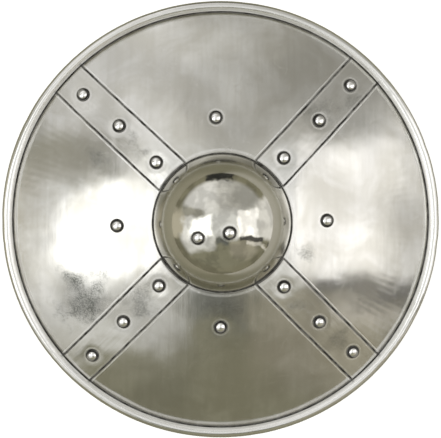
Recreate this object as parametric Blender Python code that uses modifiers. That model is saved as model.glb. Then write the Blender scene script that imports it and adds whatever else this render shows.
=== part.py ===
"""A round dished steel shield with a domed boss, four riveted bands and two leather arm loops.

It lies face up on its rolled rim. Metres, +Z up through the boss, +X to the right and +Y to the top
of the shield as it is looked at from the front. The origin is on the floor under the middle.
"""

import math

import bmesh
import bpy
from mathutils import Matrix, Vector

# Driving dimensions of the disc
SHIELD_DIAMETER = 0.610
SHEET = 0.0012
DISH_RADIUS = 0.570
ROLL_DIAMETER = 0.014

# Driving dimensions of the boss
BOSS_DIAMETER = 0.186
BOSS_HEIGHT = 0.076
BOSS_SHEET = 0.0012
BOSS_HOLE_CLEARANCE = 0.0010
FLANGE_DIAMETER = 0.316

# Driving dimensions of the bands
BAND_WIDTH = 0.0508
BAND_SHEET = 0.0012
BAND_TO_BOSS = 0.0022
BAND_TO_ROLL = 0.0005

# Driving dimensions of the rivets
RIVET_HEAD_DIAMETER = 0.0170
RIVET_HEAD_HEIGHT = 0.0066
RIVET_SHANK_DIAMETER = 0.0050
RIVET_TAIL_DIAMETER = 0.0090
RIVET_TAIL_HEIGHT = 0.0020
RIVET_HOLE_CLEARANCE = 0.0003

# Where the rivets are. On each band the inner one is this far from the boss, the outer one this far
# from the rim and the middle one this share of the way between. The grip rivets are this far inside
# the flange's edge. The boss rivets are given in plan.
INNER_RIVET_TO_BOSS = 0.0273
OUTER_RIVET_TO_RIM = 0.0468
MIDDLE_RIVET_SHARE = 0.5134
GRIP_RIVET_TO_EDGE = 0.0159
BOSS_RIVETS = {"left": (-0.0332, -0.0162), "right": (0.0078, -0.0097)}

# Directions from the axis, in degrees from +X. They are hand laid, a degree or two off true.
BAND_ANGLES = {"upper_right": 46.4, "upper_left": 137.1, "lower_left": 225.5, "lower_right": 314.5}
GRIP_RIVET_ANGLES = {"right": 1.1, "top": 93.4, "left": 181.6, "bottom": 269.1}

# How many degrees each band's inner, middle and outer rivet stray from its middle line
BAND_RIVET_STRAYS = {
    "upper_right": (0.1, -0.2, 0.1),
    "upper_left": (0.4, -0.3, 0.4),
    "lower_left": (-0.7, -0.2, 0.6),
    "lower_right": (-0.6, -0.2, 0.6),
}

# Driving dimensions of the leather loops
LEATHER = 0.0030
LEATHER_WIDTH = 0.032
LEATHER_TAB = 0.018
LEATHER_SLACK = 0.052
LEATHER_LIFT = 0.010
LEATHER_BEND = 0.5
LEATHER_BELLY = 1.2
LOOPS = {"arm_strap": ("left", "top"), "hand_strap": ("bottom", "right")}

# Clearance between pieces that touch, and how finely the round shapes are faceted
GAP = 0.0003
TURN_STEPS = 44
RIVET_STEPS = 10
HOLE_STEPS = 8
ROLL_STEPS = 12
DOME_PIECES = 6
FLANGE_PIECES = 2
DISH_PIECES = 4
RIVET_DOME_PIECES = 3
LOOP_PIECES = 8
TAB_PIECES = 2
BAND_END_PIECES = 4
SEAT_POINTS = 12
MERGE = 0.00001
CREASE_DEGREES = 34

# What follows from them
RIM_RADIUS = SHIELD_DIAMETER / 2
ROLL_RADIUS = ROLL_DIAMETER / 2
ROLL_CENTRE_RADIUS = RIM_RADIUS - ROLL_RADIUS
BACK_RADIUS = DISH_RADIUS - SHEET
FLANGE_FRONT_RADIUS = BACK_RADIUS - GAP
FLANGE_BACK_RADIUS = FLANGE_FRONT_RADIUS - BOSS_SHEET
BAND_BACK_RADIUS = DISH_RADIUS + GAP
BAND_FRONT_RADIUS = BAND_BACK_RADIUS + BAND_SHEET

# The dish runs tangent into the roll where both have this slope
RIM_SLOPE = math.asin(ROLL_CENTRE_RADIUS / (BACK_RADIUS + ROLL_RADIUS))
DISH_CENTRE_Z = ROLL_RADIUS - (BACK_RADIUS + ROLL_RADIUS) * math.cos(RIM_SLOPE)

BOSS_RADIUS = BOSS_DIAMETER / 2
BOSS_FOOT_Z = DISH_CENTRE_Z + math.sqrt(DISH_RADIUS**2 - BOSS_RADIUS**2)
BOSS_TOP_Z = BOSS_FOOT_Z + BOSS_HEIGHT
DOME_RADIUS = (BOSS_RADIUS**2 + BOSS_HEIGHT**2) / (2 * BOSS_HEIGHT)
DOME_CENTRE_Z = BOSS_TOP_Z - DOME_RADIUS
INNER_RIVET_RADIUS = BOSS_RADIUS + INNER_RIVET_TO_BOSS
OUTER_RIVET_RADIUS = RIM_RADIUS - OUTER_RIVET_TO_RIM
BAND_RIVETS = {
    "inner": INNER_RIVET_RADIUS,
    "middle": INNER_RIVET_RADIUS + (OUTER_RIVET_RADIUS - INNER_RIVET_RADIUS) * MIDDLE_RIVET_SHARE,
    "outer": OUTER_RIVET_RADIUS,
}
GRIP_RIVET_RADIUS = FLANGE_DIAMETER / 2 - GRIP_RIVET_TO_EDGE
DISH_CENTRE = Vector((0, 0, DISH_CENTRE_Z))
DOME_CENTRE = Vector((0, 0, DOME_CENTRE_Z))

# The dome's wall meets the front of its flange at this height, this far round from the dome's top
FOOT_Z = (DOME_RADIUS**2 - FLANGE_FRONT_RADIUS**2 - DOME_CENTRE_Z**2 + DISH_CENTRE_Z**2) / (
    2 * (DISH_CENTRE_Z - DOME_CENTRE_Z)
)
FOOT_ANGLE = math.acos((FOOT_Z - DOME_CENTRE_Z) / DOME_RADIUS)


def new_collection(name):
    collection = bpy.data.collections.new(name)
    bpy.context.scene.collection.children.link(collection)
    return collection


def make_material(name, color, roughness, metallic):
    material = bpy.data.materials.new(name)
    material.use_nodes = True
    shader = material.node_tree.nodes["Principled BSDF"]
    shader.inputs["Base Color"].default_value = (*color, 1)
    shader.inputs["Roughness"].default_value = roughness
    shader.inputs["Metallic"].default_value = metallic
    return material


def add_object(name, mesh, collection):
    piece = bpy.data.objects.new(name, mesh)
    collection.objects.link(piece)
    return piece


def profile_mesh(name, points):
    """A chain of edges through points given as (distance from the axis, height)."""
    mesh = bpy.data.meshes.new(name)
    edges = [(i, i + 1) for i in range(len(points) - 1)]
    mesh.from_pydata([(x, 0, z) for x, z in points], edges, [])
    return mesh


def add_screw(piece, steps):
    screw = piece.modifiers.new("Turn", "SCREW")
    screw.steps = steps
    screw.render_steps = steps
    screw.use_merge_vertices = True
    screw.merge_threshold = MERGE


def add_wall(piece, thickness, side):
    """Gives an open surface its thickness: side 1 adds it on the side the faces look to, -1 behind them."""
    wall = piece.modifiers.new("Wall", "SOLIDIFY")
    wall.thickness = thickness
    wall.offset = side
    wall.use_even_offset = True


def add_boolean(piece, operation, cutter=None, cutters=None):
    boolean = piece.modifiers.new(operation.title(), "BOOLEAN")
    boolean.operation = operation
    if cutters:
        boolean.operand_type = "COLLECTION"
        boolean.collection = cutters
    else:
        boolean.object = cutter


def settle(piece, material):
    """Turns the modifiers' result into the piece's own mesh and shades it round, with crisp corners."""
    bpy.context.view_layer.update()
    graph = bpy.context.evaluated_depsgraph_get()
    mesh = bpy.data.meshes.new_from_object(piece.evaluated_get(graph))
    piece.modifiers.clear()
    piece.data = mesh
    mesh.name = piece.name
    mesh.shade_smooth()
    mesh.set_sharp_from_angle(angle=math.radians(CREASE_DEGREES))
    mesh.materials.clear()
    mesh.materials.append(material)


def spread(low, high, pieces):
    return [low + (high - low) * i / pieces for i in range(pieces + 1)]


def on_arc(centre_z, radius, angle):
    """The point of a circle about the axis at an angle down from its top."""
    return radius * math.sin(angle), centre_z + radius * math.cos(angle)


def dish_angles():
    """Where the dished sheets have their rings of corners: at the hole, the flange's edge and the roll."""
    hole = math.asin((BOSS_RADIUS + BOSS_HOLE_CLEARANCE) / DISH_RADIUS)
    flange = math.asin(FLANGE_DIAMETER / 2 / DISH_RADIUS)
    return spread(hole, flange, FLANGE_PIECES) + spread(flange, RIM_SLOPE, DISH_PIECES)[1:]


def roll_points():
    """The outside of the curl, from under the dish round the edge to just short of the front.

    Its flat facets lie on the true circle, one of them level on the floor.
    """
    step = 2 * math.pi / ROLL_STEPS
    corner_radius = ROLL_RADIUS / math.cos(step / 2)
    first = -math.pi / 2 - step / 2
    last = math.pi
    points = []
    angle = first
    while angle < last + step:
        points.append(
            (
                ROLL_CENTRE_RADIUS + corner_radius * math.cos(angle),
                ROLL_RADIUS + corner_radius * math.sin(angle),
            )
        )
        angle += step
    return points


def make_disc(parts, holes, steel):
    back = [on_arc(DISH_CENTRE_Z, BACK_RADIUS, angle) for angle in dish_angles()]
    disc = add_object("shield_disc", profile_mesh("disc", back + roll_points()), parts)
    add_screw(disc, TURN_STEPS)
    add_wall(disc, SHEET, 1)
    add_boolean(disc, "DIFFERENCE", cutters=holes)
    settle(disc, steel)


def dome_angles():
    return spread(0, FOOT_ANGLE, DOME_PIECES)


def boss_profile():
    """The outside of the boss: the dome from its top, then the flange out to its edge."""
    dome = [on_arc(DOME_CENTRE_Z, DOME_RADIUS, angle) for angle in dome_angles()]
    rings = dish_angles()[1 : FLANGE_PIECES + 1]
    return dome + [on_arc(DISH_CENTRE_Z, FLANGE_FRONT_RADIUS, angle) for angle in rings]


def make_boss(parts, holes, polished):
    boss = add_object("boss", profile_mesh("boss", boss_profile()), parts)
    add_screw(boss, TURN_STEPS)
    add_wall(boss, BOSS_SHEET, -1)
    add_boolean(boss, "DIFFERENCE", cutters=holes)
    settle(boss, polished)


def band_outline(angle):
    """The plan of a band: a parallel strip whose ends follow the boss and the roll."""
    inner = BOSS_RADIUS + BAND_TO_BOSS
    roll_facet = (ROLL_CENTRE_RADIUS - ROLL_RADIUS) * math.cos(math.pi / TURN_STEPS)
    outer = roll_facet - BAND_TO_ROLL
    ends = []
    for radius in (inner, outer):
        turn = math.asin(BAND_WIDTH / 2 / radius)
        ends.append([(radius, angle + a) for a in spread(-turn, turn, BAND_END_PIECES)])
    around = ends[1] + ends[0][::-1]
    return [(radius * math.cos(a), radius * math.sin(a)) for radius, a in around]


def prism(name, outline, bottom, top, collection):
    """A closed upright block with a flat outline, for a cutter."""
    mesh = bpy.data.meshes.new(name)
    shape = bmesh.new()
    face = shape.faces.new([shape.verts.new((x, y, bottom)) for x, y in outline])
    raised = bmesh.ops.extrude_face_region(shape, geom=[face])
    corners = [item for item in raised["geom"] if isinstance(item, bmesh.types.BMVert)]
    bmesh.ops.translate(shape, verts=corners, vec=(0, 0, top - bottom))
    bmesh.ops.recalc_face_normals(shape, faces=shape.faces)
    shape.to_mesh(mesh)
    shape.free()
    block = add_object(name, mesh, collection)
    hide_cutter(block)
    return block


def hide_cutter(cutter):
    cutter.hide_render = True
    cutter.display_type = "WIRE"


def make_bands(parts, cutters, holes, steel):
    """Each band is cut from a shell turned beside the disc, so that it lies on it all along."""
    points = [on_arc(DISH_CENTRE_Z, BAND_BACK_RADIUS, angle) for angle in dish_angles()]
    for place, degrees in BAND_ANGLES.items():
        outline = band_outline(math.radians(degrees))
        cutter = prism("plan_" + place, outline, 0, BOSS_TOP_Z, cutters)
        band = add_object("strap_" + place, profile_mesh("band", points), parts)
        add_screw(band, TURN_STEPS)
        add_wall(band, BAND_SHEET, 1)
        add_boolean(band, "INTERSECT", cutter=cutter)
        add_boolean(band, "DIFFERENCE", cutters=holes)
        settle(band, steel)


def direction_at(centre, radius, x, y):
    """The way out of a round surface at a place given in plan."""
    return Vector((x, y, math.sqrt(radius**2 - x**2 - y**2))).normalized()


def frame_at(centre, distance, direction):
    """A frame whose +Z points along a direction, at a distance from a centre."""
    turned = direction.to_track_quat("Z", "Y").to_matrix().to_4x4()
    return Matrix.Translation(centre + direction * distance) @ turned


def plan_direction(radius, degrees):
    angle = math.radians(degrees)
    return direction_at(DISH_CENTRE, DISH_RADIUS, radius * math.cos(angle), radius * math.sin(angle))


def facet_share(rings, way):
    """Where a direction crosses the flat facets of a turned sheet, as a share of its corners' radius."""
    down = way.angle(Vector((0, 0, 1)))
    row = max(i for i in range(len(rings) - 1) if i == 0 or rings[i] <= down)
    step = 2 * math.pi / TURN_STEPS
    side = math.floor(math.atan2(way.y, way.x) / step) * step
    corners = [
        Vector((math.sin(a) * math.cos(t), math.sin(a) * math.sin(t), math.cos(a)))
        for a, t in ((rings[row + 1], side), (rings[row], side), (rings[row + 1], side + step))
    ]
    normal = (corners[1] - corners[0]).cross(corners[2] - corners[0])
    return normal.dot(corners[0]) / normal.dot(way)


def sheet_reach(rings, radius, way, foot):
    """The nearest and farthest that a faceted sheet comes along a rivet's axis, under its round foot."""
    side = way.orthogonal().normalized()
    other = way.cross(side)
    heights = [radius * facet_share(rings, way)]
    for i in range(SEAT_POINTS):
        turn = 2 * math.pi * i / SEAT_POINTS
        edge = (way * radius + (side * math.cos(turn) + other * math.sin(turn)) * foot).normalized()
        heights.append(radius * facet_share(rings, edge) * edge.dot(way))
    return min(heights), max(heights)


def head_seat(rings, radius, way):
    return sheet_reach(rings, radius, way, RIVET_HEAD_DIAMETER / 2)[1] + GAP


def tail_seat(rings, radius, way):
    return sheet_reach(rings, radius, way, RIVET_TAIL_DIAMETER / 2)[0] - GAP


def leather_front_radius():
    """The distance from the dish's centre to the leather's riveted face, clear of the flange's facets."""
    ring = (dish_angles()[FLANGE_PIECES] - dish_angles()[0]) / FLANGE_PIECES * DISH_RADIUS
    facet = 2 * math.pi * GRIP_RIVET_RADIUS / TURN_STEPS
    hollow = (ring**2 + facet**2 + LEATHER_WIDTH**2) / (8 * DISH_RADIUS)
    return FLANGE_BACK_RADIUS - GAP - hollow


def rivet_places():
    """Every rivet: its name, its centre, the way it points, and where its head and tail bear."""
    places = []
    for place, degrees in BAND_ANGLES.items():
        for (row, radius), stray in zip(BAND_RIVETS.items(), BAND_RIVET_STRAYS[place]):
            back = FLANGE_BACK_RADIUS if radius < FLANGE_DIAMETER / 2 else BACK_RADIUS
            way = plan_direction(radius, degrees + stray)
            head = head_seat(dish_angles(), BAND_FRONT_RADIUS, way)
            tail = tail_seat(dish_angles(), back, way)
            places.append((f"strap_rivet_{place}_{row}", DISH_CENTRE, way, head, tail))
    for place, degrees in GRIP_RIVET_ANGLES.items():
        way = plan_direction(GRIP_RIVET_RADIUS, degrees)
        head = head_seat(dish_angles(), DISH_RADIUS, way)
        tail = leather_front_radius() - LEATHER - GAP
        places.append(("grip_rivet_" + place, DISH_CENTRE, way, head, tail))
    for place, (x, y) in BOSS_RIVETS.items():
        way = direction_at(DOME_CENTRE, DOME_RADIUS, x, y)
        head = head_seat(dome_angles(), DOME_RADIUS, way)
        tail = tail_seat(dome_angles(), DOME_RADIUS - BOSS_SHEET, way)
        places.append(("boss_rivet_" + place, DOME_CENTRE, way, head, tail))
    return places


def make_hole_cutters(holes):
    """One drill for each rivet, through every sheet that it holds."""
    shank = RIVET_SHANK_DIAMETER / 2 + RIVET_HOLE_CLEARANCE
    radius = shank / math.cos(math.pi / HOLE_STEPS)
    for name, centre, way, head, tail in rivet_places():
        shape = bmesh.new()
        bmesh.ops.create_cone(
            shape,
            cap_ends=True,
            segments=HOLE_STEPS,
            radius1=radius,
            radius2=radius,
            depth=head - tail + RIVET_TAIL_HEIGHT,
        )
        mesh = bpy.data.meshes.new("drill_" + name)
        shape.to_mesh(mesh)
        shape.free()
        drill = add_object("drill_" + name, mesh, holes)
        drill.matrix_world = frame_at(centre, (head + tail) / 2, way)
        hide_cutter(drill)


def rivet_profile(grip):
    """A domed head above the seat at height 0, a shank as long as the grip, and a hammered tail."""
    head = RIVET_HEAD_DIAMETER / 2
    shank = RIVET_SHANK_DIAMETER / 2
    tail = RIVET_TAIL_DIAMETER / 2
    dome = [
        (head * math.sin(a), RIVET_HEAD_HEIGHT * math.cos(a))
        for a in spread(0, math.pi / 2, RIVET_DOME_PIECES)
    ]
    end = -grip - RIVET_TAIL_HEIGHT
    return dome + [(shank, 0), (shank, -grip), (tail, -grip), (shank, end), (0, end)]


def make_rivets(parts, polished):
    for name, centre, way, head, tail in rivet_places():
        rivet = add_object(name, profile_mesh(name, rivet_profile(head - tail)), parts)
        add_screw(rivet, RIVET_STEPS)
        settle(rivet, polished)
        rivet.matrix_world = frame_at(centre, head, way)


def bezier(a, b, c, d, t):
    s = 1 - t
    return a * s**3 + b * (3 * s * s * t) + c * (3 * s * t * t) + d * t**3


def loop_path(half_turn):
    """The riveted face of half a leather loop, end to middle, as (along, up) from the dish's centre.

    The end lies along the shield's back, past the rivet. Then the loop sags away to its lowest point.
    """
    radius = leather_front_radius()
    end = half_turn + LEATHER_TAB / radius
    leave = half_turn - LEATHER_LIFT / radius
    turns = spread(end, leave, TAB_PIECES)
    tab = [Vector((-radius * math.sin(a), radius * math.cos(a))) for a in turns]
    start = tab[-1]
    along = Vector((math.cos(leave), math.sin(leave)))
    middle = Vector((0, radius - LEATHER_SLACK))
    reach = -start.x / 2
    bend = start + along * reach * LEATHER_BEND
    belly = middle - Vector((reach * LEATHER_BELLY, 0))
    curve = [bezier(start, bend, belly, middle, t) for t in spread(0, 1, LOOP_PIECES)]
    return tab + curve[1:]


def make_loop(name, ends, parts, holes, leather):
    """A leather band from rivet to rivet, in the plane that holds both rivets' axes."""
    first, second = (plan_direction(GRIP_RIVET_RADIUS, GRIP_RIVET_ANGLES[end]) for end in ends)
    up = (first + second).normalized()
    along = (second - first).normalized()
    across = up.cross(along)
    half_turn = first.angle(second) / 2
    half = loop_path(half_turn)
    path = half + [Vector((-p.x, p.y)) for p in half[-2::-1]]
    edge = across * LEATHER_WIDTH / 2
    corners = []
    for point in path:
        spot = DISH_CENTRE + along * point.x + up * point.y
        corners += [spot - edge, spot + edge]
    faces = [(2 * i, 2 * i + 1, 2 * i + 3, 2 * i + 2) for i in range(len(path) - 1)]
    mesh = bpy.data.meshes.new(name)
    mesh.from_pydata(corners, [], faces)
    loop = add_object(name, mesh, parts)
    outward = mesh.polygons[0].normal.dot(up) > 0
    add_wall(loop, LEATHER, -1 if outward else 1)
    add_boolean(loop, "DIFFERENCE", cutters=holes)
    settle(loop, leather)


def main():
    for old in list(bpy.data.objects):
        bpy.data.objects.remove(old)
    parts = new_collection("round_shield")
    cutters = new_collection("cutters")
    holes = new_collection("rivet_holes")
    steel = make_material("satin_steel", (0.60, 0.60, 0.58), 0.28, 1)
    polished = make_material("polished_steel", (0.68, 0.68, 0.66), 0.08, 1)
    leather = make_material("brown_leather", (0.17, 0.085, 0.04), 0.6, 0)
    make_hole_cutters(holes)
    make_disc(parts, holes, steel)
    make_boss(parts, holes, polished)
    make_bands(parts, cutters, holes, steel)
    make_rivets(parts, polished)
    for name, ends in LOOPS.items():
        make_loop(name, ends, parts, holes, leather)


main()
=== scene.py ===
"""A round dished steel shield lying face up on its rolled rim, seen from almost straight above.

Metres. +Z is up through the boss, +X to the right and +Y to the top of the face. Every fine piece is
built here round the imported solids, from the same sizes.
"""

import math

import bmesh
import bpy
import numpy as np
from mathutils import Matrix, Vector


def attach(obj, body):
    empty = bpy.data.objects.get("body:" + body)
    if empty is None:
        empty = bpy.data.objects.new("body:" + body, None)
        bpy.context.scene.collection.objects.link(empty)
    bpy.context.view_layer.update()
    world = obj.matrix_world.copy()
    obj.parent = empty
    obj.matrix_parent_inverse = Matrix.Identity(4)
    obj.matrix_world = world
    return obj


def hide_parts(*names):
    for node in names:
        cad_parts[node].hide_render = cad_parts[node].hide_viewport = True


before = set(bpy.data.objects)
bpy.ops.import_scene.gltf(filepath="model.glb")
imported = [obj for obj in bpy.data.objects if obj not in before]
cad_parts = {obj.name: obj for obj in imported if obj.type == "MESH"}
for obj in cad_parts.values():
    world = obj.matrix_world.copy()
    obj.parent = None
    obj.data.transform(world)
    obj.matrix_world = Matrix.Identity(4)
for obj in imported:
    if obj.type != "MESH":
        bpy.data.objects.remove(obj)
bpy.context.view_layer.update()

# The disc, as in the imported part
RIM_RADIUS = 0.305
SHEET = 0.0012
DISH_RADIUS = 0.570
ROLL_RADIUS = 0.007
ROLL_END = math.radians(555)

# The boss and its flange
BOSS_RADIUS = 0.093
BOSS_HEIGHT = 0.076
BOSS_HOLE_CLEARANCE = 0.0010
FLANGE_RADIUS = 0.158
FOOT_FILLET = 0.0010

# The bands
BAND_WIDTH = 0.0508
BAND_TO_BOSS = 0.0022
BAND_TO_ROLL = 0.0012
BAND_ROUNDING = 0.0008

# The rivets
HEAD_RADIUS = 0.0085
HEAD_HEIGHT = 0.0066
HEAD_LIP = 0.0007
SHANK_RADIUS = 0.0025
TAIL_RADIUS = 0.0045
TAIL_HEIGHT = 0.0020

# The tail's shape as shares of its radius and height, and how far the seats stand off the sheet
TAIL_FOOT = 0.9
TAIL_EDGE = 0.12
TAIL_SHOULDER = 0.35
SEAT_LIFT = 0.00008

# Where the rivets are: distances from the axis, places in plan, and angles in degrees
BAND_RIVET_RADII = (0.1203, 0.1911, 0.2582)
GRIP_RIVET_RADIUS = 0.1421
BOSS_RIVETS = ((-0.0332, -0.0162), (0.0078, -0.0097))
BAND_ANGLES = {"upper_right": 46.4, "upper_left": 137.1, "lower_left": 225.5, "lower_right": 314.5}
GRIP_RIVET_ANGLES = {"right": 1.1, "top": 93.4, "left": 181.6, "bottom": 269.1}
BAND_RIVET_STRAYS = {
    "upper_right": (0.1, -0.2, 0.1),
    "upper_left": (0.4, -0.3, 0.4),
    "lower_left": (-0.7, -0.2, 0.6),
    "lower_right": (-0.6, -0.2, 0.6),
}

# The leather loops
LEATHER = 0.0030
LEATHER_WIDTH = 0.032
LEATHER_TAB = 0.018
LEATHER_SLACK = 0.052
LEATHER_LIFT = 0.010
LEATHER_BEND = 0.5
LEATHER_BELLY = 1.2
LEATHER_CORNER = 0.009
LEATHER_ROUNDING = 0.0009
LOOPS = {"arm_strap": ("left", "top"), "hand_strap": ("bottom", "right")}

# Clearance between pieces, how finely they are modelled, and how their sharp edges are broken
GAP = 0.0003
DISC_STEPS = 420
DISC_ARCS = {"front": 86, "roll_inside": 20, "roll_outside": 46, "back": 40}
BOSS_STEPS = 288
BOSS_ARCS = {"dome": 92, "flange": 34, "flange_back": 24, "dome_back": 50}
RIVET_STEPS = 44
RIVET_ARCS = {"crown": 16, "tail": 8}
LOOP_ARCS = {"tab": 20, "hanging": 80}
ROUND_EDGE = 5
HOLE_CHAMFER = SHEET / 4
FLANGE_CHAMFER = SHEET / 3
BAND_SPACING = 0.0014
LEATHER_SPACING = 0.0016
MERGE = 0.000001
CREASE = math.radians(36)

# What follows from them
ROLL_CENTRE = RIM_RADIUS - ROLL_RADIUS
BACK_RADIUS = DISH_RADIUS - SHEET
FLANGE_FRONT = BACK_RADIUS - GAP
FLANGE_BACK = FLANGE_FRONT - SHEET
BAND_BACK = DISH_RADIUS + GAP
BAND_FRONT = BAND_BACK + SHEET
RIM_SLOPE = math.asin(ROLL_CENTRE / (BACK_RADIUS + ROLL_RADIUS))
DISH_CENTRE_Z = ROLL_RADIUS - (BACK_RADIUS + ROLL_RADIUS) * math.cos(RIM_SLOPE)
DISH_CENTRE = Vector((0, 0, DISH_CENTRE_Z))
BOSS_TOP_Z = DISH_CENTRE_Z + math.sqrt(DISH_RADIUS**2 - BOSS_RADIUS**2) + BOSS_HEIGHT
DOME_RADIUS = (BOSS_RADIUS**2 + BOSS_HEIGHT**2) / (2 * BOSS_HEIGHT)
DOME_CENTRE_Z = BOSS_TOP_Z - DOME_RADIUS
DOME_CENTRE = Vector((0, 0, DOME_CENTRE_Z))

# The camera hangs nearly over the middle of the rim
EYE = Vector((-0.0400, 0.0800, 1.8370))
AIM = Vector((-0.0010, 0.0024, ROLL_RADIUS))
FOCAL = 107.04
SENSOR = 36


def add_camera():
    data = bpy.data.cameras.new("camera")
    data.lens = FOCAL
    data.sensor_width = SENSOR
    camera = bpy.data.objects.new("camera", data)
    bpy.context.scene.collection.objects.link(camera)
    back = (EYE - AIM).normalized()
    right = Vector((0, 1, 0)).cross(back).normalized()
    turned = Matrix((right, back.cross(right), back)).transposed()
    camera.matrix_world = Matrix.Translation(EYE) @ turned.to_4x4()
    bpy.context.scene.camera = camera


# Places on the shield


def plan_points(radius, angles):
    return [(radius * math.cos(math.radians(a)), radius * math.sin(math.radians(a))) for a in angles]


def band_rivet_points():
    points = []
    for row, radius in enumerate(BAND_RIVET_RADII):
        angles = [degrees + BAND_RIVET_STRAYS[place][row] for place, degrees in BAND_ANGLES.items()]
        points += plan_points(radius, angles)
    return points


def grip_rivet_points():
    return plan_points(GRIP_RIVET_RADIUS, GRIP_RIVET_ANGLES.values())


def way_out(centre, radius, x, y):
    """The way out of a round surface, at a place given in plan."""
    return Vector((x, y, math.sqrt(radius**2 - x**2 - y**2))).normalized()


def smooth_step(low, high, value):
    share = np.clip((value - low) / (high - low), 0, 1)
    return share * share * (3 - 2 * share)


# The unevenness of hand-worked sheet

SEEDS = {"swell": 7, "dings": 11, "dents": 5, "boss": 3}
WAVE_LENGTHS = (0.045, 0.150)
WAVE_COUNT = 14
WAVE_DEPTH = 0.00034
RIVET_DIMPLE = 0.00032
RIVET_DIMPLE_REACH = 0.0090
DINGS = 46
DING_DEPTHS = (0.00003, 0.00011)
DING_REACHES = (0.004, 0.010)
DING_SPREAD = (0.12, 0.86)
DISH_EDGE = (0.276, 0.289)
ROLL_DENTS = 70
ROLL_DENT_DEPTHS = (0.00005, 0.00035)
ROLL_DENT_REACHES = (0.003, 0.010)
ROLL_DENT_TILTS = (math.radians(-10), math.radians(130))
BOSS_WAVE_LENGTHS = (0.028, 0.080)
BOSS_WAVE_DEPTH = 0.00007
BOSS_SEAT = 0.0090
BOSS_SEAT_DEPTH = 0.00010
BOSS_SEAT_FADE = 1.7
DOME_EDGE = (BOSS_RADIUS - 0.010, BOSS_RADIUS)
FLANGE_EDGE = (BOSS_RADIUS, BOSS_RADIUS + 0.002)


def waves(x, y, lengths, count, depth, seed):
    """A gentle swell made of plane waves in random directions."""
    random = np.random.default_rng(seed)
    total = np.zeros_like(x)
    for _ in range(count):
        length = random.uniform(*lengths)
        angle = random.uniform(0, 2 * math.pi)
        phase = random.uniform(0, 2 * math.pi)
        along = (x * math.cos(angle) + y * math.sin(angle)) / length
        total += np.sin(2 * math.pi * along + phase) * length / lengths[1]
    return total * depth / math.sqrt(count)


def sheet_swell(x, y):
    """How far the disc and all that is riveted to it stand out from the true dish."""
    swell = waves(x, y, WAVE_LENGTHS, WAVE_COUNT, WAVE_DEPTH, SEEDS["swell"])
    for px, py in band_rivet_points() + grip_rivet_points():
        distance = np.hypot(x - px, y - py)
        swell -= RIVET_DIMPLE * smooth_step(HEAD_RADIUS + RIVET_DIMPLE_REACH, HEAD_RADIUS, distance)
    random = np.random.default_rng(SEEDS["dings"])
    for _ in range(DINGS):
        radius = RIM_RADIUS * math.sqrt(random.uniform(*DING_SPREAD))
        angle = random.uniform(0, 2 * math.pi)
        depth = random.uniform(*DING_DEPTHS)
        reach = random.uniform(*DING_REACHES)
        distance = np.hypot(x - radius * math.cos(angle), y - radius * math.sin(angle))
        swell -= depth * np.exp(-((distance / reach) ** 2))
    return swell * (1 - smooth_step(*DISH_EDGE, np.hypot(x, y)))


def press_dish(points):
    """Moves points of a stacked sheet along the dish's radius by the swell."""
    away = points - np.array(DISH_CENTRE)
    length = np.linalg.norm(away, axis=1, keepdims=True)
    swell = sheet_swell(points[:, 0], points[:, 1])[:, None]
    return points + away / length * swell


def dent_roll(points):
    """Presses small dents into the outside of the roll."""
    random = np.random.default_rng(SEEDS["dents"])
    radius = np.hypot(points[:, 0], points[:, 1])
    around = np.arctan2(points[:, 1], points[:, 0])
    out = radius - ROLL_CENTRE
    up = points[:, 2] - ROLL_RADIUS
    outside = np.hypot(out, up) > ROLL_RADIUS - SHEET / 2
    on_roll = (radius > ROLL_CENTRE - ROLL_RADIUS) & outside
    inward = np.zeros(len(points))
    for _ in range(ROLL_DENTS):
        angle = random.uniform(-math.pi, math.pi)
        tilt = random.uniform(*ROLL_DENT_TILTS)
        depth = random.uniform(*ROLL_DENT_DEPTHS)
        reach = random.uniform(*ROLL_DENT_REACHES)
        turn = (around - angle + math.pi) % (2 * math.pi) - math.pi
        side = turn * RIM_RADIUS
        rise = (np.arctan2(up, out) - tilt) * ROLL_RADIUS
        inward += depth * np.exp(-((side / reach) ** 2) - (rise / ROLL_RADIUS) ** 2)
    inward = np.where(on_roll, inward, 0)
    share = inward / np.maximum(np.hypot(out, up), MERGE)
    moved = points.copy()
    moved[:, 0] -= out * share * np.cos(around)
    moved[:, 1] -= out * share * np.sin(around)
    moved[:, 2] -= up * share
    return moved


def press_boss(points):
    """Gives the dome a faint swell and a flat seat under each rivet, and the flange the dish's swell."""
    away = points - np.array(DOME_CENTRE)
    length = np.linalg.norm(away, axis=1, keepdims=True)
    x_places, y_places = points[:, 0], points[:, 1]
    swell = waves(x_places, y_places, BOSS_WAVE_LENGTHS, WAVE_COUNT, BOSS_WAVE_DEPTH, SEEDS["boss"])
    for x, y in BOSS_RIVETS:
        centre = np.array(DOME_CENTRE + way_out(DOME_CENTRE, DOME_RADIUS, x, y) * DOME_RADIUS)
        distance = np.linalg.norm(points - centre, axis=1)
        flat = np.minimum(distance, BOSS_SEAT) ** 2 - BOSS_SEAT**2
        seat = flat / (2 * DOME_RADIUS) - BOSS_SEAT_DEPTH
        swell += seat * (1 - smooth_step(BOSS_SEAT, BOSS_SEAT * BOSS_SEAT_FADE, distance))
    plan = np.hypot(points[:, 0], points[:, 1])
    on_dome = 1 - smooth_step(*DOME_EDGE, plan)
    domed = points + away / length * (swell * on_dome)[:, None]
    flanged = press_dish(points)
    on_flange = smooth_step(*FLANGE_EDGE, plan)[:, None]
    return domed * (1 - on_flange) + flanged * on_flange


# Outlines of the turned pieces, as (distance from the axis, height)


def arc(centre, radius, first, last, count):
    """Points on a circle, from one angle to another, angles measured up from straight out."""
    angles = np.linspace(first, last, count)
    return [(centre[0] + radius * math.cos(a), centre[1] + radius * math.sin(a)) for a in angles]


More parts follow.
